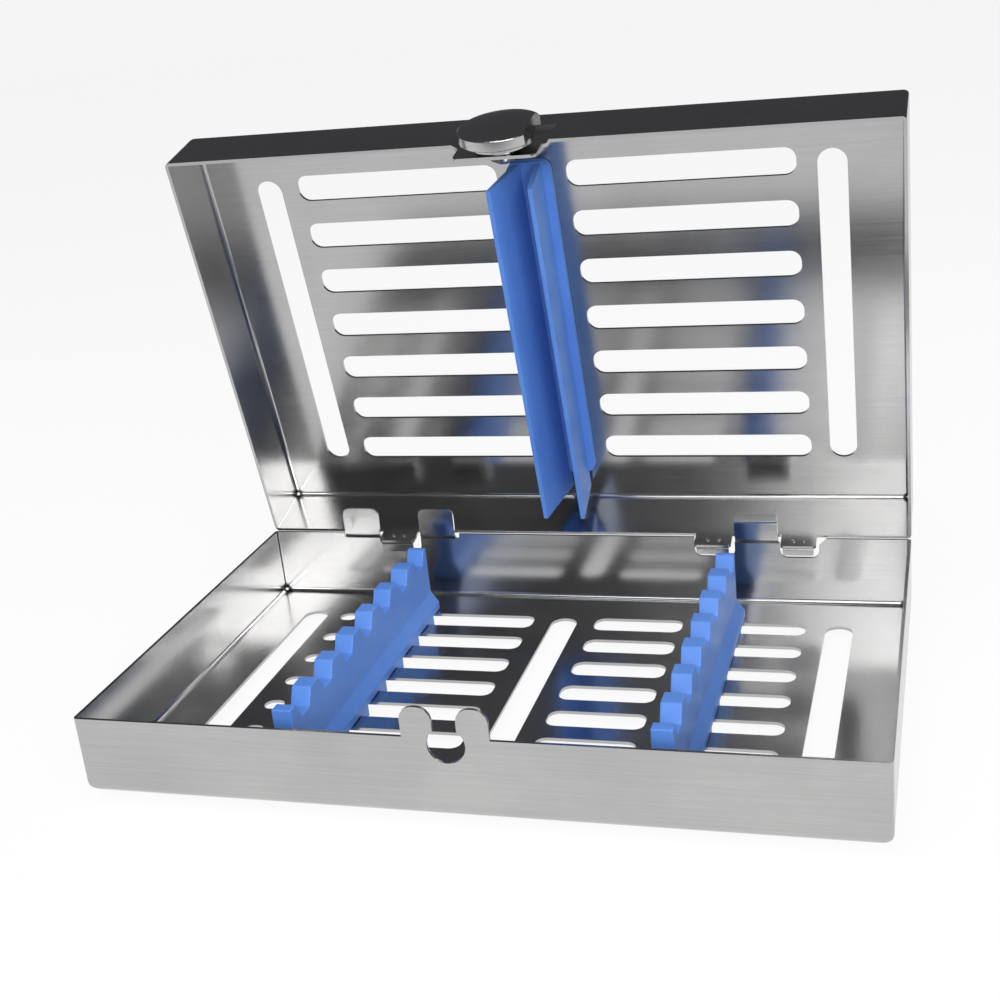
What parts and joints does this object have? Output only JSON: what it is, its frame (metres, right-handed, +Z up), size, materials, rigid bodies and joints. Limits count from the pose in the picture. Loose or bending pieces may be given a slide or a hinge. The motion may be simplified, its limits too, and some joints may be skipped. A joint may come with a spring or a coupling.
{
  "type": "sterilization box",
  "caption": "Folded steel tray with slotted floor and hinged slotted lid, soft comb racks for hand instruments, a soft lid strip and a turning keyhole latch.",
  "frame": {"origin": "on the ground under the middle of the whole box with its lid open", "axes": "+X to the right seen from the front, +Y from the front wall towards the hinge, +Z up"},
  "size_m": [0.18, 0.131, 0.139],
  "materials": {
    "shell_steel": "fine brushed",
    "hook_steel": "satin",
    "latch_steel": "polished",
    "blue_silicone": "matte"
  },
  "bodies": {
    "base": {"base_tray": "shell_steel", "rack_left": "blue_silicone", "rack_right": "blue_silicone"},
    "lid": {"lid_shell": "shell_steel", "lid_holder": "blue_silicone", "hinge_hook_left": "hook_steel", "hinge_hook_middle": "hook_steel", "hinge_hook_right": "hook_steel"},
    "latch": {"latch_knob": "latch_steel", "latch_post": "latch_steel", "latch_washer": "latch_steel", "latch_retainer": "latch_steel"}
  },
  "joints": [
    {"name": "lid_hinge", "type": "hinge", "parent": "base", "child": "lid", "pos_m": [0, 0.0485, 0.02185], "axis": [-1, 0, 0], "range_deg": [-75.5, 99.5]},
    {"name": "latch_turn", "type": "hinge", "parent": "lid", "child": "latch", "pos_m": [-0.001, 0.01826, 0.13178], "axis": [0, -0.2504, 0.9681], "range_deg": [0, 90]}
  ]
}
